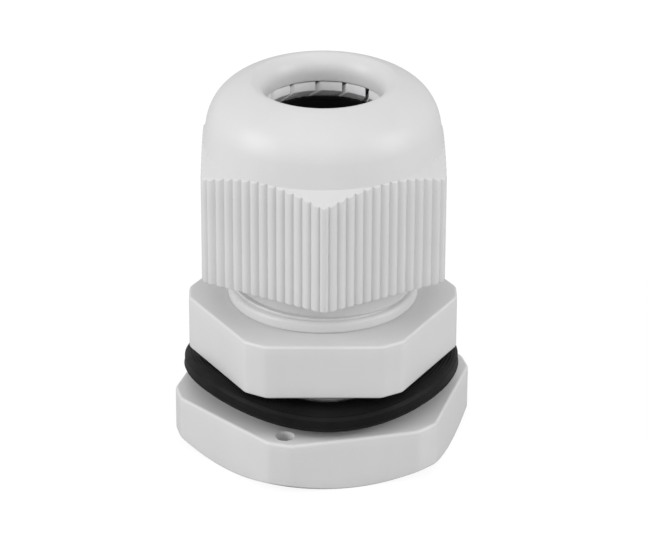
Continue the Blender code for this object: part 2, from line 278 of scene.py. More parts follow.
def flatten(item):
    """Makes an object's mesh the one that its modifiers give, and removes them."""
    bpy.context.view_layer.update()
    graph = bpy.context.evaluated_depsgraph_get()
    mesh = bpy.data.meshes.new_from_object(item.evaluated_get(graph))
    item.modifiers.clear()
    item.data = mesh
    return item


def close_up(item):
    """Merges the seams, turns every face outwards and shades the mesh with crisp edges."""
    shape = bmesh.new()
    shape.from_mesh(item.data)
    bmesh.ops.remove_doubles(shape, verts=shape.verts, dist=MERGE)
    bmesh.ops.dissolve_degenerate(shape, edges=shape.edges, dist=MERGE)
    bmesh.ops.recalc_face_normals(shape, faces=shape.faces)
    shape.to_mesh(item.data)
    shape.free()
    item.data.shade_smooth()
    item.data.set_sharp_from_angle(angle=SHARP)
    return item


def made_by(maker, name, mesh, values):
    """A named object that a geometry tree makes from a start mesh, as a plain mesh."""
    item = link(name, mesh)
    modifier = item.modifiers.new("maker", "NODES")
    modifier.node_group = maker
    for socket in maker.interface.items_tree:
        if socket.name in values:
            modifier[socket.identifier] = values[socket.name]
    return close_up(flatten(item))


def combine(item, other, operation):
    """Joins another object to this one or cuts it away, and removes the other one."""
    modifier = item.modifiers.new("combine", "BOOLEAN")
    modifier.operation = operation
    modifier.solver = "EXACT"
    modifier.object = other
    flatten(item)
    bpy.data.objects.remove(other, do_unlink=True)
    return close_up(item)


def coat(item, material):
    item.data.materials.clear()
    item.data.materials.append(material)
    return item


def rounded(points, closed=True, steps=4):
    """Points of (radius, height, fillet) as a line whose corners are arcs of their fillets."""
    line = []
    for index, (radius, height, fillet) in enumerate(points):
        corner = Vector((radius, height))
        at_end = not closed and index in (0, len(points) - 1)
        if fillet == 0 or at_end:
            line.append(corner)
            continue
        before = (Vector(points[index - 1][:2]) - corner).normalized()
        after = (Vector(points[(index + 1) % len(points)][:2]) - corner).normalized()
        half = before.angle(after) / 2
        middle = corner + (before + after).normalized() * fillet / sin(half)
        first = corner + before * fillet / tan(half) - middle
        last = corner + after * fillet / tan(half) - middle
        turn = -first.angle_signed(last)
        line += [middle + Matrix.Rotation(turn * step / steps, 2) @ first for step in range(steps + 1)]
    return line


def turned(name, line, columns):
    """A closed line of (radius, height) turned about Z into a closed ring."""
    shape = bmesh.new()
    rings = []
    for column in range(columns):
        turn = Matrix.Rotation(TURN * column / columns, 3, "Z")
        rings.append([shape.verts.new(turn @ Vector((p[0], 0, p[1])) * MM) for p in line])
    for column, ring in enumerate(rings):
        after = rings[(column + 1) % columns]
        for row in range(len(line)):
            below = (row + 1) % len(line)
            shape.faces.new((ring[row], after[row], after[below], ring[below]))
    mesh = bpy.data.meshes.new(name)
    shape.to_mesh(mesh)
    shape.free()
    return close_up(link(name, mesh))


def soft_box(name, size, centre, angle, edge):
    """A block with bevelled edges, moved to a centre and turned about Z."""
    shape = bmesh.new()
    bmesh.ops.create_cube(shape, size=1.0)
    bmesh.ops.scale(shape, vec=Vector(size) * MM, verts=shape.verts)
    bmesh.ops.bevel(
        shape, geom=shape.edges, offset=edge * MM, segments=3, profile=0.5, affect="EDGES"
    )
    bmesh.ops.translate(shape, vec=Vector(centre) * MM, verts=shape.verts)
    bmesh.ops.rotate(shape, matrix=Matrix.Rotation(angle, 3, "Z"), verts=shape.verts)
    mesh = bpy.data.meshes.new(name)
    shape.to_mesh(mesh)
    shape.free()
    return close_up(link(name, mesh))


# ------------------------------------------------------- sections of hexagonal pieces


class Row(NamedTuple):
    """One point of the section of a turned piece, with how far it follows the piece's hexagon.

    Where hexagonal is 0 the point lies at its radius and height. Where it is 1 it lies on the
    hexagon's side, at a share of the side's height, set in from it, lifted, and no further out
    than reach.
    """

    radius: float = 0.0
    height: float = 0.0
    hexagonal: float = 0.0
    rise: float = 0.0
    inset: float = 0.0
    lift: float = 0.0
    reach: float = FAR


def round_rows(points, steps=4):
    return [Row(radius, height) for radius, height in rounded(points, closed=False, steps=steps)]


def side_rows(lower_edge, upper_edge, levels=4, steps=5):
    """The rows up a hexagon's side, with a rounded edge below and above."""
    rows = []
    for step in range(steps + 1):
        angle = pi / 2 * step / steps
        inset, lift = lower_edge * (1 - sin(angle)), lower_edge * (1 - cos(angle))
        rows.append(Row(hexagonal=1, rise=0, inset=inset, lift=lift))
    for level in range(1, levels):
        rows.append(Row(hexagonal=1, rise=level / levels))
    for step in range(steps + 1):
        angle = pi / 2 * step / steps
        inset, lift = upper_edge * (1 - cos(angle)), upper_edge * (1 - sin(angle))
        rows.append(Row(hexagonal=1, rise=1, inset=inset, lift=-lift))
    return rows


def section_mesh(name, rows):
    """A loose mesh of one vertex a row, which carries the rows' values as attributes, in metres."""
    mesh = bpy.data.meshes.new(name)
    mesh.from_pydata([(row.radius * MM, 0, row.height * MM) for row in rows], [], [])
    for label in Row._fields:
        scale = 1.0 if label in ("hexagonal", "rise") else MM
        attribute = mesh.attributes.new(label, "FLOAT", "POINT")
        attribute.data.foreach_set("value", [getattr(row, label) * scale for row in rows])
    return mesh


# ---------------------------------------------------------------- geometry trees


def section_grid(nodes, section, columns):
    """A flat grid with one column for each step round and one row for each point of a section.

    The last column and row fall on the first ones and are merged with them at the end.
    """
    count = nodes.add(
        "GeometryNodeAttributeDomainSize", {"Geometry": section}, component="MESH"
    ).outputs["Point Count"]
    grid = nodes.add("GeometryNodeMeshGrid", {
        "Size X": columns, "Size Y": count,
        "Vertices X": nodes.math("ADD", columns, 1.0), "Vertices Y": nodes.math("ADD", count, 1.0),
    }).outputs["Mesh"]
    place = nodes.add("GeometryNodeInputPosition").outputs[0]
    across, up = nodes.add("ShaderNodeSeparateXYZ", {0: place}).outputs[:2]
    column = nodes.math("ROUND", nodes.math("MULTIPLY_ADD", columns, 0.5, across))
    row = nodes.math("ROUND", nodes.math("MULTIPLY_ADD", count, 0.5, up))
    return grid, column, nodes.math("MODULO", row, count)


def row_value(nodes, section, row, label):
    stored = nodes.add("GeometryNodeInputNamedAttribute", {"Name": label}, data_type="FLOAT")
    return nodes.add(
        "GeometryNodeSampleIndex",
        {"Geometry": section, "Value": stored.outputs["Attribute"], "Index": row},
        data_type="FLOAT", domain="POINT",
    ).outputs["Value"]


def set_round(nodes, grid, radius, angle, height):
    """Puts a grid's points at a radius, an angle and a height, and merges the seams."""
    place = nodes.add("ShaderNodeCombineXYZ", {
        0: nodes.math("MULTIPLY", radius, nodes.math("COSINE", angle)),
        1: nodes.math("MULTIPLY", radius, nodes.math("SINE", angle)),
        2: height,
    }).outputs[0]
    moved = nodes.add("GeometryNodeSetPosition", {"Geometry": grid, "Position": place}).outputs[0]
    return nodes.add(
        "GeometryNodeMergeByDistance", {"Geometry": moved, "Distance": MERGE * 10}
    ).outputs[0]


def hexagon_maker():
    """A tree that turns a section into a ring whose outer side is a hexagon, plain or ribbed."""
    nodes, given, result = new_maker("hexagonal moulding", [
        whole("Columns per Side", 48), distance("Across Flats", 0.024),
        distance("Across Corners", 0.0272), distance("Corner Softness", 0.0002),
        distance("Turn", 0.0), distance("Ribs per Side", 1.0), distance("Rib Depth", 0.0),
        distance("Rib Fullness", 2.4), distance("Low", 0.0), distance("Low Reach", 1.0),
        distance("Low Slope", 0.0), distance("High", 0.01), distance("High Reach", 1.0),
        distance("High Slope", 0.0),
    ])
    section = given["Geometry"]
    side_count = given["Columns per Side"]
    grid, column, row = section_grid(nodes, section, nodes.math("MULTIPLY", side_count, 6.0))
    stored = {label: row_value(nodes, section, row, label) for label in Row._fields}

    apothem = nodes.math("MULTIPLY", given["Across Flats"], 0.5)
    side = nodes.math("MULTIPLY", given["Across Flats"], tan(pi / 6))
    turns = nodes.math("DIVIDE", column, side_count)
    number = nodes.math("FLOOR", nodes.math("ADD", turns, 1e-4))
    share = nodes.math("SUBTRACT", nodes.math("SUBTRACT", turns, number), 0.5)
    along = nodes.math("MULTIPLY", share, side)
    lean = nodes.math("ARCTAN2", along, apothem)
    angle = nodes.math(
        "ADD", nodes.math("MULTIPLY_ADD", number, pi / 3, lean), given["Turn"]
    )
    flat = nodes.math("DIVIDE", apothem, nodes.math("COSINE", lean))
    to_corner = nodes.math("SUBTRACT", pi / 6, nodes.math("ABSOLUTE", lean))
    corner = nodes.math(
        "DIVIDE", nodes.math("MULTIPLY", given["Across Corners"], 0.5), nodes.math("COSINE", to_corner)
    )
    outline = nodes.math("SMOOTH_MIN", flat, corner, given["Corner Softness"])
    ribs = nodes.math("MULTIPLY", share, given["Ribs per Side"])
    valley = nodes.math("MULTIPLY", nodes.math("PINGPONG", ribs, 0.5), 2.0)
    depth = nodes.math("MULTIPLY", nodes.math("POWER", valley, given["Rib Fullness"]), given["Rib Depth"])
    outer = nodes.math("SUBTRACT", nodes.math("SUBTRACT", outline, depth), stored["inset"])
    outer = nodes.math("MINIMUM", outer, stored["reach"])

    past_low = nodes.math("SUBTRACT", outer, given["Low Reach"])
    cut = nodes.math("MULTIPLY_ADD", past_low, given["Low Slope"], given["Low"])
    low = nodes.math("MAXIMUM", given["Low"], cut)
    past_high = nodes.math("SUBTRACT", outer, given["High Reach"])
    fall = nodes.math("MULTIPLY", past_high, given["High Slope"])
    high = nodes.math("MINIMUM", given["High"], nodes.math("SUBTRACT", given["High"], fall))
    level = nodes.math("ADD", nodes.between(stored["rise"], low, high), stored["lift"])

    radius = nodes.between(stored["hexagonal"], stored["radius"], outer)
    height = nodes.between(stored["hexagonal"], stored["height"], level)
    end_maker(nodes, given, result, set_round(nodes, grid, radius, angle, height))
    return nodes.tree


def gasket_maker():
    """A tree that turns a section into a round ring that is bent up and down as it goes round."""
    nodes, given, result = new_maker("bent flat ring", [
        whole("Columns", 240), distance("Tilt", 0.0001), distance("Saddle", -0.0003),
        distance("Three Waves", -0.00055),
    ])
    section = given["Geometry"]
    grid, column, row = section_grid(nodes, section, given["Columns"])
    angle = nodes.math("DIVIDE", nodes.math("MULTIPLY", column, TURN), given["Columns"])
    height = row_value(nodes, section, row, "height")
    waves = (
        (given["Tilt"], "SINE", 1.0), (given["Saddle"], "SINE", 2.0), (given["Three Waves"], "COSINE", 3.0)
    )
    for size, kind, times in waves:
        wave = nodes.math(kind, nodes.math("MULTIPLY", angle, times))
        height = nodes.math("MULTIPLY_ADD", size, wave, height)
    from_front = nodes.math("SUBTRACT", angle, pi / 2)
    radius = row_value(nodes, section, row, "radius")
    end_maker(nodes, given, result, set_round(nodes, grid, radius, from_front, height))
    return nodes.tree


def thread_maker():
    """A tree that sweeps a rounded ridge along a right-hand helix and fades it out at both ends."""
    nodes, given, result = new_maker("screw ridge", [
        distance("Radius", 0.009), distance("Depth", 0.001), distance("Foot Width", 0.0014),
        distance("Crest Width", 0.0005), distance("Pitch", 0.002), distance("Start", 0.0),
        distance("Turns", 3.0), distance("Fade", 0.3), distance("Side", 1.0),
        whole("Steps per Turn", 120),
    ])
    path = nodes.add("GeometryNodeCurveSpiral", {
        "Resolution": given["Steps per Turn"], "Rotations": given["Turns"],
        "Start Radius": given["Radius"], "End Radius": given["Radius"],
        "Height": nodes.math("MULTIPLY", given["Pitch"], given["Turns"]),
    }).outputs[0]
    upright = nodes.add("GeometryNodeSetCurveNormal", {"Curve": path}, mode="Z_UP").outputs[0]
    trapezoid = nodes.add("GeometryNodeCurvePrimitiveQuadrilateral", {
        "Height": given["Depth"], "Bottom Width": given["Foot Width"],
        "Top Width": given["Crest Width"], "Offset": 0.0,
    }, mode="TRAPEZOID").outputs[0]
    half = nodes.math("MULTIPLY", nodes.math("MULTIPLY", given["Depth"], 0.5), given["Side"])
    to_foot = nodes.add("ShaderNodeCombineXYZ", {1: half}).outputs[0]
    facing = nodes.add("ShaderNodeCombineXYZ", {0: 1.0, 1: given["Side"], 2: 1.0}).outputs[0]
    based = nodes.add("GeometryNodeTransform", {
        "Geometry": trapezoid, "Translation": to_foot, "Scale": facing,
    }).outputs[0]
    soft = nodes.add("GeometryNodeFilletCurve", {
        "Curve": based, "Count": 3, "Limit Radius": True,
        "Radius": nodes.math("MULTIPLY", given["Crest Width"], 0.35),
    }, mode="POLY").outputs[0]
    along = nodes.add("GeometryNodeSplineParameter").outputs["Factor"]
    nearest_end = nodes.math("MINIMUM", along, nodes.math("SUBTRACT", 1.0, along))
    turns_in = nodes.math("DIVIDE", nodes.math("MULTIPLY", nearest_end, given["Turns"]), given["Fade"])
    size = nodes.math("MAXIMUM", nodes.smooth_step(turns_in), 0.05)
    swept = nodes.add("GeometryNodeCurveToMesh", {
        "Curve": upright, "Profile Curve": soft, "Scale": size, "Fill Caps": True,
    }).outputs[0]
    lift = nodes.add("ShaderNodeCombineXYZ", {2: given["Start"]}).outputs[0]
    raised = nodes.add("GeometryNodeTransform", {"Geometry": swept, "Translation": lift}).outputs[0]
    end_maker(nodes, given, result, raised)
    return nodes.tree


# ---------------------------------------------------------------- materials


def surface_group(name, build, inputs):
    """A shader group that gives a colour, a roughness and a height for a bump."""
    outputs = [
        ("Colour", "NodeSocketColor"), ("Roughness", "NodeSocketFloat"), ("Height", "NodeSocketFloat")
    ]
    nodes, given, result = new_tree(name, "ShaderNodeTree", inputs, outputs)
    for socket, value in zip(result.inputs, build(nodes, given)):
        nodes.feed(socket, value)
    return nodes.tree


def noise(nodes, place, scale, detail=2.0, roughness=0.5):
    return nodes.add("ShaderNodeTexNoise", {
        "Vector": place, "Scale": scale, "Detail": detail, "Roughness": roughness,
    }).outputs["Fac"]


def tinted(nodes, share, low, high):
    mixed = nodes.add("ShaderNodeMix", {0: share, 6: low, 7: high}, data_type="RGBA")
    return mixed.outputs[2]


def moulded_plastic(nodes, given):
    """Cloudy colour, a spark-eroded grain and faint flow marks down the draw of the mould."""
    place = given["Place"]
    cloud = noise(nodes, place, given["Cloud Scale"], 3.0)
    grain = noise(nodes, place, given["Grain Scale"], 2.0, 0.6)
    stretched = nodes.add(
        "ShaderNodeMapping", {"Vector": place, "Scale": (1.0, 1.0, 0.12)}
    ).outputs[0]
    flow = noise(nodes, stretched, given["Flow Scale"], 3.0)
    mixed = nodes.math("MULTIPLY_ADD", flow, 0.35, nodes.math("MULTIPLY", cloud, 0.65))
    share = nodes.add(
        "ShaderNodeMapRange", {"Value": mixed, "From Min": 0.3, "From Max": 0.7}, clamp=True
    ).outputs["Result"]
    colour = tinted(nodes, share, given["Dark"], given["Light"])
    rough = nodes.math("MULTIPLY_ADD", nodes.math("SUBTRACT", cloud, 0.5), 0.14, given["Roughness"])
    rough = nodes.math("MULTIPLY_ADD", nodes.math("SUBTRACT", grain, 0.5), 0.10, rough)
    height = nodes.math("MULTIPLY_ADD", flow, 0.3, grain)
    return colour, rough, height


def moulded_rubber(nodes, given):
    """Near-black rubber with a dull bloom and a fine uneven skin."""
    place = given["Place"]
    bloom = noise(nodes, place, given["Cloud Scale"], 4.0, 0.6)
    grain = noise(nodes, place, given["Grain Scale"], 3.0, 0.6)
    share = nodes.add(
        "ShaderNodeMapRange", {"Value": bloom, "From Min": 0.4, "From Max": 0.75}, clamp=True
    ).outputs["Result"]
    colour = tinted(nodes, share, given["Dark"], given["Light"])
    rough = nodes.math("MULTIPLY_ADD", nodes.math("SUBTRACT", bloom, 0.5), -0.25, given["Roughness"])
    height = nodes.math("MULTIPLY_ADD", bloom, 0.5, grain)
    return colour, rough, height


SURFACE_INPUTS = [
    ("Place", "NodeSocketVector", None), ("Dark", "NodeSocketColor", (0.5, 0.5, 0.5, 1.0)),
    ("Light", "NodeSocketColor", (0.6, 0.6, 0.6, 1.0)), ("Cloud Scale", "NodeSocketFloat", 160.0),
    ("Grain Scale", "NodeSocketFloat", 9000.0), ("Flow Scale", "NodeSocketFloat", 420.0),
    ("Roughness", "NodeSocketFloat", 0.45),
]


def new_finish(name, group, colour, spread, roughness, specular, bump, **scales):
    """A material whose colour, roughness and bump come from a surface group."""
    material = bpy.data.materials.new(name)
    material.use_nodes = True
    nodes = Nodes(material.node_tree)
    shader = material.node_tree.nodes["Principled BSDF"]
    place = nodes.add("ShaderNodeTexCoord").outputs["Object"]
    surface = nodes.add("ShaderNodeGroup", node_tree=group)
    dark = (*(channel * (1 - spread) for channel in colour), 1.0)
    light = (*(min(1.0, channel * (1 + spread)) for channel in colour), 1.0)
    values = {"Place": place, "Dark": dark, "Light": light, "Roughness": roughness}
    values.update({label.replace("_", " ").title(): value for label, value in scales.items()})
    for label, value in values.items():
        nodes.feed(surface.inputs[label], value)
    skin = nodes.add("ShaderNodeBump", {
        "Height": surface.outputs["Height"], "Strength": 1.0, "Distance": bump * MM,
    })
    nodes.feed(shader.inputs["Base Color"], surface.outputs["Colour"])
    nodes.feed(shader.inputs["Roughness"], surface.outputs["Roughness"])
    nodes.feed(shader.inputs["Normal"], skin.outputs[0])
    shader.inputs["Specular IOR Level"].default_value = specular
    shader.inputs["Metallic"].default_value = 0.0
    return material


def make_finishes(colours):
    """The four finishes, by the name of the record's material slot that each one shows."""
    plastic = surface_group("moulded plastic skin", moulded_plastic, SURFACE_INPUTS)
    rubber = surface_group("moulded rubber skin", moulded_rubber, SURFACE_INPUTS)
    return {
        "housing_plastic": new_finish(
            "light_grey_polyamide", plastic, colours.housing,
            spread=0.022, roughness=0.40, specular=0.42, bump=0.010,
        ),
        "cage_plastic": new_finish(
            "pale_cage_polyamide", plastic, colours.cage,
            spread=0.02, roughness=0.44, specular=0.40, bump=0.008,
        ),
        "seal_rubber": new_finish(
            "black_seal_rubber", rubber, colours.seal,
            spread=0.5, roughness=0.62, specular=0.12, bump=0.012, cloud_scale=320.0,
        ),
        "gasket_rubber": new_finish(
            "black_gasket_rubber", rubber, colours.gasket,
            spread=0.5, roughness=0.55, specular=0.15, bump=0.014, cloud_scale=260.0,
            grain_scale=5200.0,
        ),
    }


FINISHES = {}
MAKERS = {}


def finish_of(slot):
    if not FINISHES:
        FINISHES.update(make_finishes(bpy.context.scene.gland_colours))
    return FINISHES[slot]


def maker(kind):
    """A geometry tree by its kind, built the first time that it is wanted."""
    if kind not in MAKERS:
        MAKERS[kind] = {"hexagon": hexagon_maker, "gasket": gasket_maker, "thread": thread_maker}[kind]()
    return MAKERS[kind]


def screw_ridge(name, radius, depth, widths, pitch, start, turns, slot):
    """A helical ridge that stands out from its radius, or inwards where its depth is below zero."""
    return made_by(maker("thread"), name, bpy.data.meshes.new(name), {
        "Radius": radius * MM, "Depth": abs(depth) * MM, "Side": 1.0 if depth > 0 else -1.0,
        "Foot Width": widths[0] * MM, "Crest Width": widths[1] * MM, "Pitch": pitch * MM,
        "Start": start * MM,
        "Turns": turns, "Material": finish_of(slot),
    })


def place_piece(item, body, slot, *stands_for):
    """Gives a finished piece its finish and its body, and hides the packed solids that it stands for."""
    item.data.transform(RAISE)
    coat(item, finish_of(slot))
    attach(item, body)
    if stands_for:
        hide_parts(*stands_for)
    return item


# ---------------------------------------------------------------- settings


def length(name, description, default):
    return FloatProperty(
        name=name, description=description, default=default, min=0.0, precision=5,
        subtype="DISTANCE", unit="LENGTH",
    )


def colour(name, description, default):
    return FloatVectorProperty(
        name=name, description=description, default=default, min=0.0, max=1.0, subtype="COLOR"
    )


class GlandColours(PropertyGroup):
    """Base colours of the four finishes"""

    housing: colour("Housing", "Body, dome nut and lock nut", (0.60, 0.60, 0.60))
    cage: colour("Cage", "Clamping ring and fingers", (0.88, 0.88, 0.89))
    seal: colour("Seal", "Rubber sleeve", (0.004, 0.004, 0.004))
    gasket: colour("Gasket", "Flat rubber ring", (0.006, 0.006, 0.006))


class GlandBody(PropertyGroup):
    """Sizes of the body"""

    flats: length("Across Flats", "Width of the flange between two flats", 24.6 * MM)
    corners: length("Across Corners", "Width of the flange between two cut corners", 27.0 * MM)
    edge: length("Edge", "Radius of the flange's long edges", 0.28 * MM)


class GlandDomeNut(PropertyGroup):
    """Sizes of the dome nut"""

    flats: length("Across Flats", "Width between two ribbed flats", NUT_HIGH.x - NUT_LOW.x)
    corners: length("Across Corners", "Width between two corner ribs", 27.3 * MM)
    ribs: IntProperty(name="Ribs", description="Grip ribs on each flat", default=14, min=1)
    rib_depth: length("Rib Depth", "Depth of the valleys between the ribs", 0.23 * MM)
    fullness: FloatProperty(
        name="Rib Fullness", description="2 is a round rib and more is a flatter one", default=2.0
    )


class GlandLockNut(PropertyGroup):
    """Sizes of the lock nut"""

    flats: length("Across Flats", "Width between two flats", 27.4 * MM)
    corners: length("Across Corners", "Width between two cut corners", 30.2 * MM)
    turn: FloatProperty(
        name="Turn", description="How far the nut is turned on its thread", default=radians(13.3),
        subtype="ANGLE", unit="ROTATION",
    )
    edge: length("Edge", "Radius of the nut's upper edges", 0.3 * MM)
    hole: length("Hole", "Width of the blind hole in the upper face", 1.7 * MM)


class GlandCage(PropertyGroup):
    """Sizes of the clamping cage"""

    slant: FloatProperty(
        name="Slant", description="How far a finger's sides lean from straight outwards",
        default=radians(55), subtype="ANGLE", unit="ROTATION",
    )
    slot_root: length("Slot at Root", "Width of the slot between two fingers at the root", 0.25 * MM)
    slot_tip: length("Slot at Tip", "Width of the slot between two fingers at the tip", 0.32 * MM)


class GlandStage(PropertyGroup):
    """Light and view"""

    light: FloatProperty(name="Light", description="Brightness of the surroundings", default=1.0)
    lens: FloatProperty(
        name="Lens", description="Focal length", default=195.7, subtype="DISTANCE_CAMERA"
    )
    distance: length("Distance", "From the camera to the gland's middle", 354.1 * MM)
    elevation: FloatProperty(
        name="Elevation", description="Height of the camera above the horizon",
        default=radians(26.1), subtype="ANGLE", unit="ROTATION",
    )
    azimuth: FloatProperty(
        name="Azimuth", description="Direction of the camera round the gland, from the front",
        default=radians(-0.5), subtype="ANGLE", unit="ROTATION",
    )
    roll: FloatProperty(
        name="Roll", description="How far the camera is turned about its view",
        default=radians(0.16), subtype="ANGLE", unit="ROTATION",
    )


# ---------------------------------------------------------------- pieces


def neck_notches(body):
    """Cuts the four notches in the top of the neck that stop the cage from turning."""
    for lug in range(LUG_COUNT):
        notch = soft_box(
            f"notch_{lug + 1}", (4, LUG_WIDTH + 2 * PLAY, 2 * (LUG_DEPTH + 2 * PLAY)),
            (NECK_BORE + 1.5, 0, BODY_HIGH.z / MM), (lug + 0.5) * TURN / LUG_COUNT, 0.15,
        )
        combine(body, notch, "DIFFERENCE")


class MakeBody(Operator):
    """Makes the body: entry thread, hexagonal flange, collar and neck thread"""

    bl_idname = "cable_gland.make_body"
    bl_label = "Body"

    def execute(self, context):
        sizes = context.scene.gland_body
        neck_top = BODY_HIGH.z / MM
        rows = round_rows([
            (ENTRY_ROOT - 0.4, 0, 0), (ENTRY_ROOT, 0.4, 0.15), (ENTRY_ROOT, 4, 0), (ENTRY_ROOT, 8.59, 0),
        ])
        rows += side_rows(sizes.edge / MM, sizes.edge / MM)
        rows += round_rows([
            (COLLAR_RADIUS + 0.6, FLANGE_TOP, 0), (COLLAR_RADIUS - UNDERCUT, FLANGE_TOP, 0.03),
            (COLLAR_RADIUS - UNDERCUT, FLANGE_TOP + 0.12, 0.03),
            (COLLAR_RADIUS, FLANGE_TOP + 0.14, 0.08),
            (COLLAR_RADIUS, COLLAR_TOP, 0.45), (NECK_ROOT, COLLAR_TOP, 0.05),
            (NECK_ROOT, 20, 0), (NECK_ROOT, neck_top, 0.3), (NECK_BORE, neck_top, 0.15),
            (NECK_BORE, SEAL_SEAT, 0.1), (BODY_BORE, SEAL_SEAT, 0.15), (BODY_BORE, 10, 0),
            (BODY_BORE, 0.7, 0.2), (BODY_BORE + 0.6, 0, 0.1), (ENTRY_ROOT - 0.6, 0, 0),
        ])
        body = made_by(maker("hexagon"), "body", section_mesh("body_section", rows), {
            "Columns per Side": SIDE_COLUMNS, "Across Flats": sizes.flats, "Across Corners": sizes.corners,
            "Corner Softness": 0.25 * MM, "Turn": pi / 6, "Low": FLANGE_BOTTOM * MM,
            "High": FLANGE_TOP * MM, "Material": finish_of("housing_plastic"),
        })
        neck_turns = (neck_top - 0.9 - NECK_THREAD_START) / NECK_PITCH
        neck = screw_ridge(
            "neck_thread", NECK_ROOT - SUNK, NECK_DEPTH, NECK_WIDTHS, NECK_PITCH,
            NECK_THREAD_START, neck_turns, "housing_plastic",
        )
        combine(body, neck, "UNION")
        entry_turns = (FLANGE_BOTTOM - 1.8) / ENTRY_PITCH
        entry = screw_ridge(
            "entry_thread", ENTRY_ROOT - SUNK, ENTRY_DEPTH, ENTRY_WIDTHS, ENTRY_PITCH,
            ENTRY_THREAD_START, entry_turns, "housing_plastic",
        )
        combine(body, entry, "UNION")
        neck_notches(body)
        place_piece(body, "gland", "housing_plastic", "gland_body")
        return {"FINISHED"}


class MakeCageRing(Operator):
    """Makes the clamping ring with its skirt and lugs"""

    bl_idname = "cable_gland.make_cage_ring"
    bl_label = "Clamping Ring"

    def execute(self, context):
        top, bottom = RING_HIGH.z / MM, RING_LOW.z / MM
        shoulder = BODY_HIGH.z / MM + PLAY
        ring = turned("clamping_ring", rounded([
            (FINGER_OUTER - 0.3, top, 0.1), (FINGER_OUTER, top - 0.3, 0.1), (FINGER_OUTER, shoulder, 0.1),
            (NECK_BORE - PLAY, shoulder, 0.1), (NECK_BORE - PLAY, bottom + 0.3, 0.1),
            (NECK_BORE - PLAY - 0.15, bottom, 0.05), (FINGER_INNER, bottom, 0.05), (FINGER_INNER, top, 0.1),
        ]), RING_COLUMNS)
        for lug in range(LUG_COUNT):
            depth = LUG_DEPTH + PLAY
            block = soft_box(
                f"lug_{lug + 1}", (LUG_REACH, LUG_WIDTH, depth + 0.6),
                (NECK_BORE + 0.18, 0, shoulder - depth / 2 + 0.3), (lug + 0.5) * TURN / LUG_COUNT, 0.12,
            )
            combine(ring, block, "UNION")
        place_piece(ring, "gland", "cage_plastic", "cage_ring")
        return {"FINISHED"}


def finger_mesh(name, sizes, number):
    """One finger and the thin web at its root, with sides that lean as seen from above."""
    top = TIP_HIGH.z / MM
    line = rounded([
        (FINGER_TIP, top, 0.03), (FINGER_TIP + TIP_WIDTH, top, 0.03), *FINGER_BACK,
        (FINGER_OUTER, FINGER_SHOULDER, 0.8), (FINGER_OUTER, FINGER_ROOT, 0.2),
        (WEB_OUTER, FINGER_ROOT, 0.1), (WEB_OUTER, FINGER_ROOT - WEB_LENGTH, 0),
        (WEB_INNER, FINGER_ROOT - WEB_LENGTH, 0), (WEB_INNER, FINGER_ROOT, 0.1),
        (FINGER_INNER, FINGER_ROOT, 0.2), (FINGER_INNER, FINGER_FRONT_START, 0.8),
        (FINGER_TIP, top - TIP_FACE, 0.12),
    ], steps=3)
    middle = (FINGER_INNER + FINGER_OUTER) / 2
    shape = bmesh.new()
    rings = []
    for column in range(FINGER_COLUMNS + 1):
        side = 2 * column / FINGER_COLUMNS - 1
        ring = []
        for radius, height in line:
            share = (height - FINGER_ROOT) / (top - FINGER_ROOT)
            slot = (sizes.slot_root + (sizes.slot_tip - sizes.slot_root) * share) / MM
            lean = (radius - middle) * tan(sizes.slant) / middle
            half = pi / FINGER_COUNT - slot / 2 / cos(sizes.slant) / radius
            angle = number * TURN / FINGER_COUNT + lean + side * half
            ring.append(shape.verts.new(Vector((radius * cos(angle), radius * sin(angle), height)) * MM))
        rings.append(ring)
    for ring, after in zip(rings, rings[1:]):
        for row in range(len(line)):
            below = (row + 1) % len(line)
            shape.faces.new((ring[row], after[row], after[below], ring[below]))
    shape.faces.new(rings[0])
    shape.faces.new(rings[-1])
    bmesh.ops.recalc_face_normals(shape, faces=shape.faces)
    mesh = bpy.data.meshes.new(name)
    shape.to_mesh(mesh)
    shape.free()
    return mesh


class MakeFingers(Operator):
    """Makes the clamping fingers, each with the thin web of its living hinge at the root"""

    bl_idname = "cable_gland.make_fingers"
    bl_label = "Clamping Fingers"

    def execute(self, context):
        for number in range(FINGER_COUNT):
            node = f"finger_{number + 1:02d}"
            finger = link(f"clamping_{node}", finger_mesh(node, context.scene.gland_cage, number))
            bevel = finger.modifiers.new("edge", "BEVEL")
            bevel.width = 0.05 * MM
            bevel.segments = 2
            bevel.limit_method = "ANGLE"
            bevel.angle_limit = radians(50)
            close_up(flatten(finger))
            coat(finger, finish_of("cage_plastic"))
            finger.data.transform(RAISE)
            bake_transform(finger)
            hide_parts(node)
        return {"FINISHED"}


class MakeSeal(Operator):
    """Makes the rubber seal sleeve"""

    bl_idname = "cable_gland.make_seal"
    bl_label = "Seal Sleeve"

    def execute(self, context):
        low, high = SEAL_LOW.z / MM, SEAL_HIGH.z / MM
        outer = SEAL_HIGH.x / MM
        seal = turned("rubber_seal", rounded([
            (SEAL_BORE, high, 0.1), (SEAL_BORE + 0.25, high, 0.12), (outer, high - SEAL_CHAMFER, 0.4),
            (outer, low + 0.3, 0.2), (outer - 0.3, low, 0.15), (SEAL_BORE + 0.3, low, 0.15),
            (SEAL_BORE, low + 0.4, 0.2), (SEAL_BORE, 24.0, 0), (SEAL_BORE, 28.0, 0),
        ]), SEAL_COLUMNS)
        place_piece(seal, "seal", "seal_rubber", "seal_sleeve")
        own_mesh(seal)
        return {"FINISHED"}


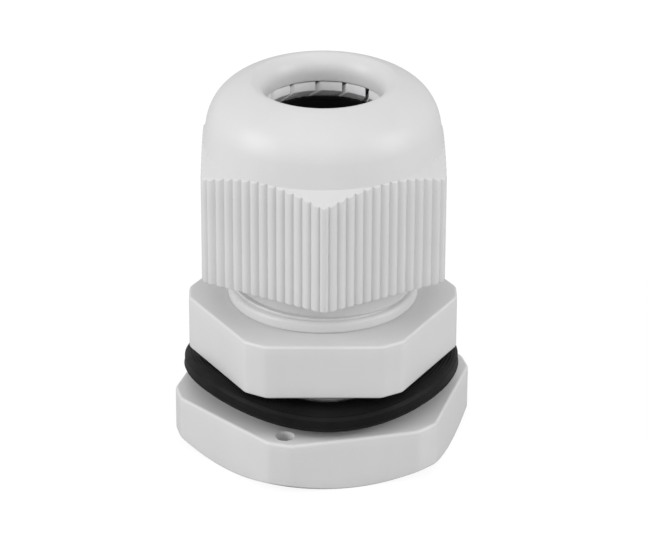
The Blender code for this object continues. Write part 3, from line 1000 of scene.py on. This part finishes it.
def dome_rows():
    """The dome from the band to its lip, on a rounded superellipse."""
    rows = []
    lip_centre = THROAT + LIP_REACH
    start, end = 0.28, 1.5
    for step in range(DOME_STEPS + 1):
        angle = start + (end - start) * step / DOME_STEPS
        radius = DOME_RADIUS * cos(angle) ** DOME_POWER
        height = DOME_BASE + DOME_RISE * sin(angle) ** DOME_POWER
        if radius > lip_centre and height > BAND_TOP - 0.25:
            rows.append(Row(radius, height))
    across = 1 - (lip_centre / DOME_RADIUS) ** (2 / DOME_POWER)
    top = DOME_BASE + DOME_RISE * across ** (DOME_POWER / 2)
    for step in range(LIP_STEPS + 1):
        angle = pi / 2 * (1 + step / LIP_STEPS)
        rows.append(Row(lip_centre + LIP_REACH * cos(angle), top - LIP_DROP * (1 - sin(angle))))
    return rows


class MakeDomeNut(Operator):
    """Makes the dome nut: ribbed grip, band, dome, mouth, inner cone and thread"""

    bl_idname = "cable_gland.make_dome_nut"
    bl_label = "Dome Nut"

    def execute(self, context):
        sizes = context.scene.gland_dome_nut
        bottom = NUT_LOW.z / MM
        edge = 0.1
        rows = side_rows(edge, edge, levels=6, steps=3)
        band_end = Row(DOME_RADIUS + 0.06, BAND_TOP - (DOME_RADIUS + 0.06 - BAND_REACH) * BAND_SLOPE)
        for share in (0.66, 0.33):
            rows.append(band_end._replace(hexagonal=share, rise=1, inset=edge))
        rows.append(band_end)
        rows += dome_rows()
        cone_bottom = THROAT_BOTTOM - (NUT_BORE - CONE_START) / CONE_SLOPE
        rows += round_rows([
            (THROAT, THROAT_BOTTOM + 0.3, 0), (THROAT, THROAT_BOTTOM, 0.03),
            (CONE_START, THROAT_BOTTOM, 0.1),
            (NUT_BORE, cone_bottom, 0.4), (NUT_BORE, 25, 0), (NUT_BORE, bottom + 0.5, 0.2),
            (NUT_BORE + 0.4, bottom, 0.1), (NUT_BORE + 0.8, bottom, 0),
        ])
        nut = made_by(maker("hexagon"), "dome_cap", section_mesh("dome_nut_section", rows), {
            "Columns per Side": COLUMNS_PER_RIB * sizes.ribs, "Across Flats": sizes.flats,
            "Across Corners": sizes.corners, "Corner Softness": 0.2 * MM, "Turn": 0.0,
            "Ribs per Side": float(sizes.ribs), "Rib Depth": sizes.rib_depth,
            "Rib Fullness": sizes.fullness, "Low": NUT_LOW.z, "High": BAND_TOP * MM,
            "High Reach": BAND_REACH * MM, "High Slope": BAND_SLOPE,
            "Material": finish_of("housing_plastic"),
        })
        ridge = screw_ridge(
            "nut_thread", NUT_BORE + SUNK, -NECK_DEPTH, NECK_WIDTHS, NECK_PITCH,
            NECK_THREAD_START + 2.5 * NECK_PITCH, 2.4, "housing_plastic",
        )
        combine(nut, ridge, "UNION")
        place_piece(nut, "cap", "housing_plastic", "dome_nut")
        return {"FINISHED"}


class MakeGasket(Operator):
    """Makes the flat rubber gasket with its fine rings and its parting lip"""

    bl_idname = "cable_gland.make_gasket"
    bl_label = "Gasket"

    def execute(self, context):
        outer = (GASKET_HIGH.x - GASKET_LOW.x) / 2 / MM
        base, top = GASKET_BASE, GASKET_BASE + GASKET_THICKNESS
        points = [(GASKET_BORE, base, 0.05), (GASKET_BORE, top, 0.08)]
        for ring in range(FINE_RINGS):
            start = GASKET_BORE + 0.35 + ring * FINE_RING_STEP
            points += [
                (start, top, 0), (start + FINE_RING_WIDTH / 2, top + FINE_RING_RISE, 0),
                (start + FINE_RING_WIDTH, top, 0),
            ]
        points += [
            (outer - 0.3, top, 0.1), (outer, top - 0.3, 0.12), (outer, base + 0.34, 0),
            (outer + PARTING_LIP, base + 0.27, 0), (outer, base + 0.2, 0), (outer - 0.02, base, 0.12),
        ]
        rows = [Row(radius, height) for radius, height in rounded(points)]
        gasket = made_by(maker("gasket"), "rubber_gasket", section_mesh("gasket_section", rows), {
            "Columns": GASKET_COLUMNS, "Tilt": 0.08 * MM, "Saddle": -0.3 * MM, "Three Waves": -0.55 * MM,
            "Material": finish_of("gasket_rubber"),
        })
        gasket.data.transform(Matrix.Translation((GASKET_SHIFT * MM, 0, 0)))
        place_piece(gasket, "gasket", "gasket_rubber", "flat_gasket")
        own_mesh(gasket)
        return {"FINISHED"}


class MakeLockNut(Operator):
    """Makes the lock nut with its blind hole and its thread"""

    bl_idname = "cable_gland.make_lock_nut"
    bl_label = "Lock Nut"

    def execute(self, context):
        sizes = context.scene.gland_lock_nut
        bottom, top = LOCK_LOW.z / MM, LOCK_HIGH.z / MM
        rows = [Row(hexagonal=1, rise=0, inset=0.1, reach=LOCK_CONE_REACH)]
        rows += side_rows(0.12, sizes.edge / MM)
        rows += round_rows([
            (LOCK_BORE + 1.2, top, 0), (LOCK_BORE + 0.45, top, 0.15), (LOCK_BORE, top - 0.45, 0.15),
            (LOCK_BORE, 2.4, 0), (LOCK_BORE, bottom + 0.45, 0.15), (LOCK_BORE + 0.45, bottom, 0.15),
            (LOCK_BORE + 1.2, bottom, 0),
        ])
        nut = made_by(maker("hexagon"), "lock_ring_nut", section_mesh("lock_nut_section", rows), {
            "Columns per Side": SIDE_COLUMNS, "Across Flats": sizes.flats, "Across Corners": sizes.corners,
            "Corner Softness": 0.35 * MM, "Turn": pi / 6 + sizes.turn, "Low": LOCK_LOW.z,
            "Low Reach": LOCK_CONE_REACH * MM, "Low Slope": LOCK_CONE_SLOPE, "High": LOCK_HIGH.z,
            "Material": finish_of("housing_plastic"),
        })
        ridge = screw_ridge(
            "lock_thread", LOCK_BORE + SUNK, -ENTRY_DEPTH, LOCK_THREAD_WIDTHS, ENTRY_PITCH,
            ENTRY_THREAD_START + ENTRY_PITCH / 2, 1.55, "housing_plastic",
        )
        combine(nut, ridge, "UNION")
        hole = sizes.hole / 2 / MM
        drill = turned("drill", rounded([
            (0.001, HOLE_BOTTOM, 0), (hole, HOLE_BOTTOM, 0.2), (hole, top - 0.12, 0.05),
            (hole + 0.25, top + 0.13, 0), (0.001, top + 0.13, 0),
        ]), 32)
        corner = sizes.turn - radians(120)
        centre = Vector((cos(corner), sin(corner), 0)) * HOLE_CENTRE * MM
        drill.data.transform(Matrix.Translation(centre))
        combine(nut, drill, "DIFFERENCE")
        place_piece(nut, "locknut", "housing_plastic", "lock_nut")
        return {"FINISHED"}


# ---------------------------------------------------------------- stage


def stage_floor():
    """A wide sheet that looks near white itself and throws less light back up than it seems to."""
    shape = bmesh.new()
    bmesh.ops.create_grid(shape, x_segments=8, y_segments=8, size=4.0)
    mesh = bpy.data.meshes.new("floor")
    shape.to_mesh(mesh)
    shape.free()
    floor = link("floor", mesh)
    material = bpy.data.materials.new("white_sheet")
    material.use_nodes = True
    nodes = Nodes(material.node_tree)
    thrown = nodes.add("ShaderNodeBsdfDiffuse", {"Color": (0.5, 0.5, 0.5, 1.0)}).outputs[0]
    shade = nodes.add("ShaderNodeBsdfDiffuse", {"Color": (0.12, 0.12, 0.12, 1.0)}).outputs[0]
    shine = nodes.add("ShaderNodeEmission", {"Strength": 0.9}).outputs[0]
    seen = nodes.add("ShaderNodeAddShader", {0: shade, 1: shine}).outputs[0]
    by_eye = nodes.add("ShaderNodeLightPath").outputs["Is Camera Ray"]
    mixed = nodes.add("ShaderNodeMixShader", {0: by_eye, 1: thrown, 2: seen}).outputs[0]
    nodes.feed(material.node_tree.nodes["Material Output"].inputs["Surface"], mixed)
    mesh.materials.append(material)


# Name, place, width and power of each soft panel, in metres and watts
LIGHTS = (
    ("front", (0.0, -0.6, 0.55), 0.6, 0.85),
    ("left", (-0.6, -0.2, 0.3), 0.4, 2.5),
    ("right", (0.6, -0.2, 0.3), 0.4, 2.1),
)


def soft_light(name, place, size, power):
    """A large soft panel that faces the gland's middle."""
    lamp = bpy.data.lights.new(name, "AREA")
    lamp.shape = "DISK"
    lamp.size = size
    lamp.energy = power
    item = link(name, lamp)
    item.location = place
    aim = Vector((0, 0, 0.018)) - Vector(place)
    item.rotation_euler = aim.to_track_quat("-Z", "Y").to_euler()


def studio_camera(sizes):
    lens = bpy.data.cameras.new("studio_camera")
    lens.lens = sizes.lens
    lens.sensor_width = 36.0
    lens.clip_start = 0.01
    lens.clip_end = 20.0
    camera = link("studio_camera", lens)
    back = Vector((
        sin(sizes.azimuth) * cos(sizes.elevation), -cos(sizes.azimuth) * cos(sizes.elevation),
        sin(sizes.elevation),
    ))
    middle = RAISE @ (Vector(VIEW_CENTRE) * MM)
    camera.location = middle + back * sizes.distance
    facing = (-back).to_track_quat("-Z", "Y") @ Quaternion((0, 0, 1), sizes.roll)
    camera.rotation_euler = facing.to_euler()
    bpy.context.scene.camera = camera


class MakeStage(Operator):
    """Makes the white floor, the soft lights and the camera"""

    bl_idname = "cable_gland.make_stage"
    bl_label = "Stage"

    def execute(self, context):
        sizes = context.scene.gland_stage
        scene = context.scene
        stage_floor()
        world = bpy.data.worlds.new("studio")
        world.use_nodes = True
        sky = world.node_tree.nodes["Background"]
        sky.inputs["Color"].default_value = (1.0, 1.0, 1.0, 1.0)
        sky.inputs["Strength"].default_value = 0.7 * sizes.light
        scene.world = world
        scene.view_settings.view_transform = "Standard"
        for name, place, size, power in LIGHTS:
            soft_light(name, place, size, power * sizes.light)
        studio_camera(sizes)
        return {"FINISHED"}


# ---------------------------------------------------------------- add-on


PIECES = (MakeBody, MakeCageRing, MakeFingers, MakeSeal, MakeDomeNut, MakeGasket, MakeLockNut, MakeStage)
SETTINGS = {
    "gland_colours": GlandColours, "gland_body": GlandBody, "gland_dome_nut": GlandDomeNut,
    "gland_lock_nut": GlandLockNut, "gland_cage": GlandCage, "gland_stage": GlandStage,
}


class CableGlandPanel(Panel):
    """Lists the operators and their settings"""

    bl_idname = "VIEW3D_PT_cable_gland"
    bl_label = "Cable Gland"
    bl_space_type = "VIEW_3D"
    bl_region_type = "UI"
    bl_category = "Cable Gland"

    def draw(self, context):
        for operator in PIECES:
            self.layout.operator(operator.bl_idname)
        for name, group in SETTINGS.items():
            box = self.layout.box()
            box.label(text=group.__doc__)
            for label in group.__annotations__:
                box.prop(getattr(context.scene, name), label)


def register():
    for item in (*SETTINGS.values(), *PIECES, CableGlandPanel):
        bpy.utils.register_class(item)
    for name, group in SETTINGS.items():
        setattr(bpy.types.Scene, name, PointerProperty(type=group))


def unregister():
    for name in SETTINGS:
        delattr(bpy.types.Scene, name)
    for item in reversed((*SETTINGS.values(), *PIECES, CableGlandPanel)):
        bpy.utils.unregister_class(item)


def main():
    register()
    for operator in PIECES:
        family, action = operator.bl_idname.split(".")
        getattr(getattr(bpy.ops, family), action)()


if __name__ == "__main__":
    main()
